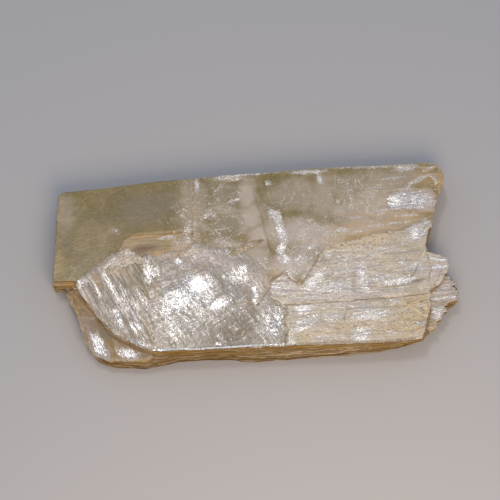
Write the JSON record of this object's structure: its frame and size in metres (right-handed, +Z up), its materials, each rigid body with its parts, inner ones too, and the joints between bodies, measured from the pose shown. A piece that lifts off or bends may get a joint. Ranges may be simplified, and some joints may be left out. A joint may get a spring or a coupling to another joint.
{
  "type": "mica specimen",
  "caption": "Flat book of pale, pearly mica: a stack of cleavage sheets with a clear pane, torn ledges, a slanting corner terrace and a splintered end.",
  "frame": {"origin": "under the middle of the book, on the surface it lies on", "axes": "+X along the book's length towards the splintered end, +Y towards the straight back edge, +Z up, across the sheets"},
  "size_m": [0.093, 0.0456, 0.0074],
  "materials": {
    "mica": "pearly silver to pale gold cleavage, golden brown on the cut edges of the sheets"
  },
  "bodies": {
    "root": {"mica_book": "mica"}
  },
  "joints": []
}
